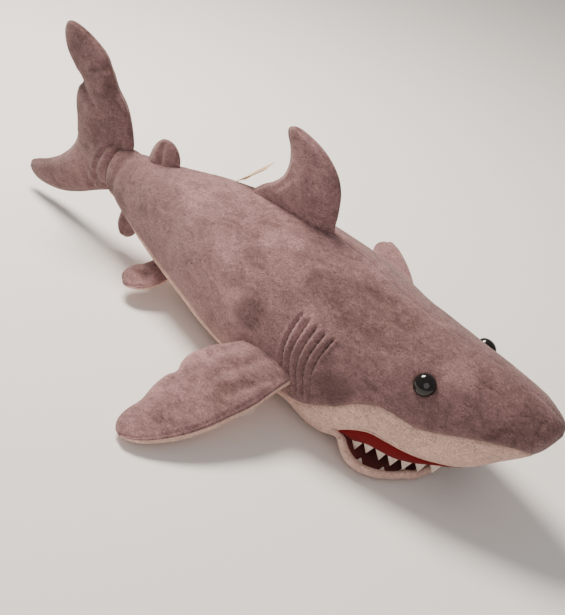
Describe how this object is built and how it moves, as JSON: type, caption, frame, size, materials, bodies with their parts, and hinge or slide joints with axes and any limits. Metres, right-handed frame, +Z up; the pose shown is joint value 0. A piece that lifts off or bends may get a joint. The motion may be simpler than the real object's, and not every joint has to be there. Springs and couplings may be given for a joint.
{
  "type": "plush shark",
  "caption": "Plush shark with a grey back, a cream belly, a hollow open mouth with felt teeth, glossy eyes, stitched gills, stuffed fins and a tail fin that bend at their roots.",
  "frame": {"origin": "on the flat of the belly where the shark rests, under the front half of the dorsal fin, in the middle plane", "axes": "+X to the snout, +Y to the shark's left side, +Z up"},
  "size_m": [0.6108, 0.3959, 0.2077],
  "materials": {
    "grey_plush": "brushed short-pile plush, warm grey",
    "cream_plush": "short-pile plush, warm cream",
    "polyester_filling": "loose polyester fibre filling",
    "red_felt": "red felt",
    "dark_red_lining": "dark red woven lining",
    "cream_felt": "cream felt",
    "black_plastic": "glossy black plastic",
    "washer_plastic": "plain white plastic",
    "thread": "dark sewing thread",
    "ribbon": "woven ribbon, blank"
  },
  "bodies": {
    "body": {"back_cover_left": "grey_plush", "back_cover_right": "grey_plush", "belly_cover": "cream_plush", "muzzle_cover": "cream_plush", "body_stuffing": "polyester_filling", "head_stuffing": "polyester_filling", "palate_lining": "dark_red_lining", "upper_gum": "red_felt", "upper_teeth": "cream_felt", "eye_left": "black_plastic", "eye_right": "black_plastic", "eye_washer_left": "washer_plastic", "eye_washer_right": "washer_plastic", "gill_thread_left_1": "thread", "gill_thread_left_2": "thread", "gill_thread_left_3": "thread", "gill_thread_left_4": "thread", "gill_thread_left_5": "thread", "gill_thread_right_1": "thread", "gill_thread_right_2": "thread", "gill_thread_right_3": "thread", "gill_thread_right_4": "thread", "gill_thread_right_5": "thread"},
    "lower_jaw": {"jaw_cover": "cream_plush", "jaw_lining": "dark_red_lining", "jaw_stuffing": "polyester_filling", "lower_teeth": "cream_felt"},
    "dorsal_fin": {"dorsal_fin_cover_left": "grey_plush", "dorsal_fin_cover_right": "grey_plush", "dorsal_fin_stuffing": "polyester_filling"},
    "second_dorsal_fin": {"second_dorsal_fin_layer_left": "grey_plush", "second_dorsal_fin_layer_right": "grey_plush"},
    "anal_fin": {"anal_fin_layer_left": "grey_plush", "anal_fin_layer_right": "grey_plush"},
    "tail_fin": {"tail_fin_cover_left": "grey_plush", "tail_fin_cover_right": "grey_plush", "tail_fin_stuffing": "polyester_filling"},
    "care_label": {"care_label": "ribbon"},
    "pectoral_fin_left": {"pectoral_fin_top_cover_left": "grey_plush", "pectoral_fin_under_cover_left": "cream_plush", "pectoral_fin_stuffing_left": "polyester_filling"},
    "pelvic_fin_left": {"pelvic_fin_top_layer_left": "grey_plush", "pelvic_fin_under_layer_left": "cream_plush"},
    "pectoral_fin_right": {"pectoral_fin_top_cover_right": "grey_plush", "pectoral_fin_under_cover_right": "cream_plush", "pectoral_fin_stuffing_right": "polyester_filling"},
    "pelvic_fin_right": {"pelvic_fin_top_layer_right": "grey_plush", "pelvic_fin_under_layer_right": "cream_plush"}
  },
  "joints": [
    {"name": "jaw_hinge", "type": "hinge", "parent": "body", "child": "lower_jaw", "pos_m": [0.146, 0, 0.028], "axis": [0, 1, 0], "range_deg": [-8, 12], "stiffness_Nm_per_rad": 0.4},
    {"name": "dorsal_fin_bend", "type": "hinge", "parent": "body", "child": "dorsal_fin", "pos_m": [0, 0, 0.1426], "axis": [0.9989, 0, 0.0459], "range_deg": [-30, 30], "stiffness_Nm_per_rad": 0.25},
    {"name": "second_dorsal_fin_bend", "type": "hinge", "parent": "body", "child": "second_dorsal_fin", "pos_m": [-0.145, 0, 0.1143], "axis": [0.9718, 0, 0.236], "range_deg": [-35, 35], "stiffness_Nm_per_rad": 0.03},
    {"name": "anal_fin_bend", "type": "hinge", "parent": "body", "child": "anal_fin", "pos_m": [-0.172, 0, 0.039], "axis": [0.9363, 0, -0.3511], "range_deg": [-35, 35], "stiffness_Nm_per_rad": 0.03},
    {"name": "pectoral_fin_bend_left", "type": "hinge", "parent": "body", "child": "pectoral_fin_left", "pos_m": [0.062, 0.0785, 0.044], "axis": [1, 0, 0], "range_deg": [-10, 35], "stiffness_Nm_per_rad": 0.35},
    {"name": "pectoral_fin_bend_right", "type": "hinge", "parent": "body", "child": "pectoral_fin_right", "pos_m": [0.062, -0.0785, 0.044], "axis": [-1, 0, 0], "range_deg": [-10, 35], "stiffness_Nm_per_rad": 0.35},
    {"name": "pelvic_fin_bend_left", "type": "hinge", "parent": "body", "child": "pelvic_fin_left", "pos_m": [-0.104, 0.0285, 0.024], "axis": [1, 0, 0], "range_deg": [-20, 20], "stiffness_Nm_per_rad": 0.03},
    {"name": "pelvic_fin_bend_right", "type": "hinge", "parent": "body", "child": "pelvic_fin_right", "pos_m": [-0.104, -0.0285, 0.024], "axis": [-1, 0, 0], "range_deg": [-20, 20], "stiffness_Nm_per_rad": 0.03},
    {"name": "tail_fin_swing", "type": "hinge", "parent": "body", "child": "tail_fin", "pos_m": [-0.217, 0, 0.078], "axis": [0, 0, 1], "range_deg": [-25, 25], "stiffness_Nm_per_rad": 0.6},
    {"name": "care_label_flap", "type": "hinge", "parent": "body", "child": "care_label", "pos_m": [-0.06, 0.009, 0.1346], "axis": [0, 1, 0], "range_deg": [-60, 10], "stiffness_Nm_per_rad": 0.002}
  ]
}
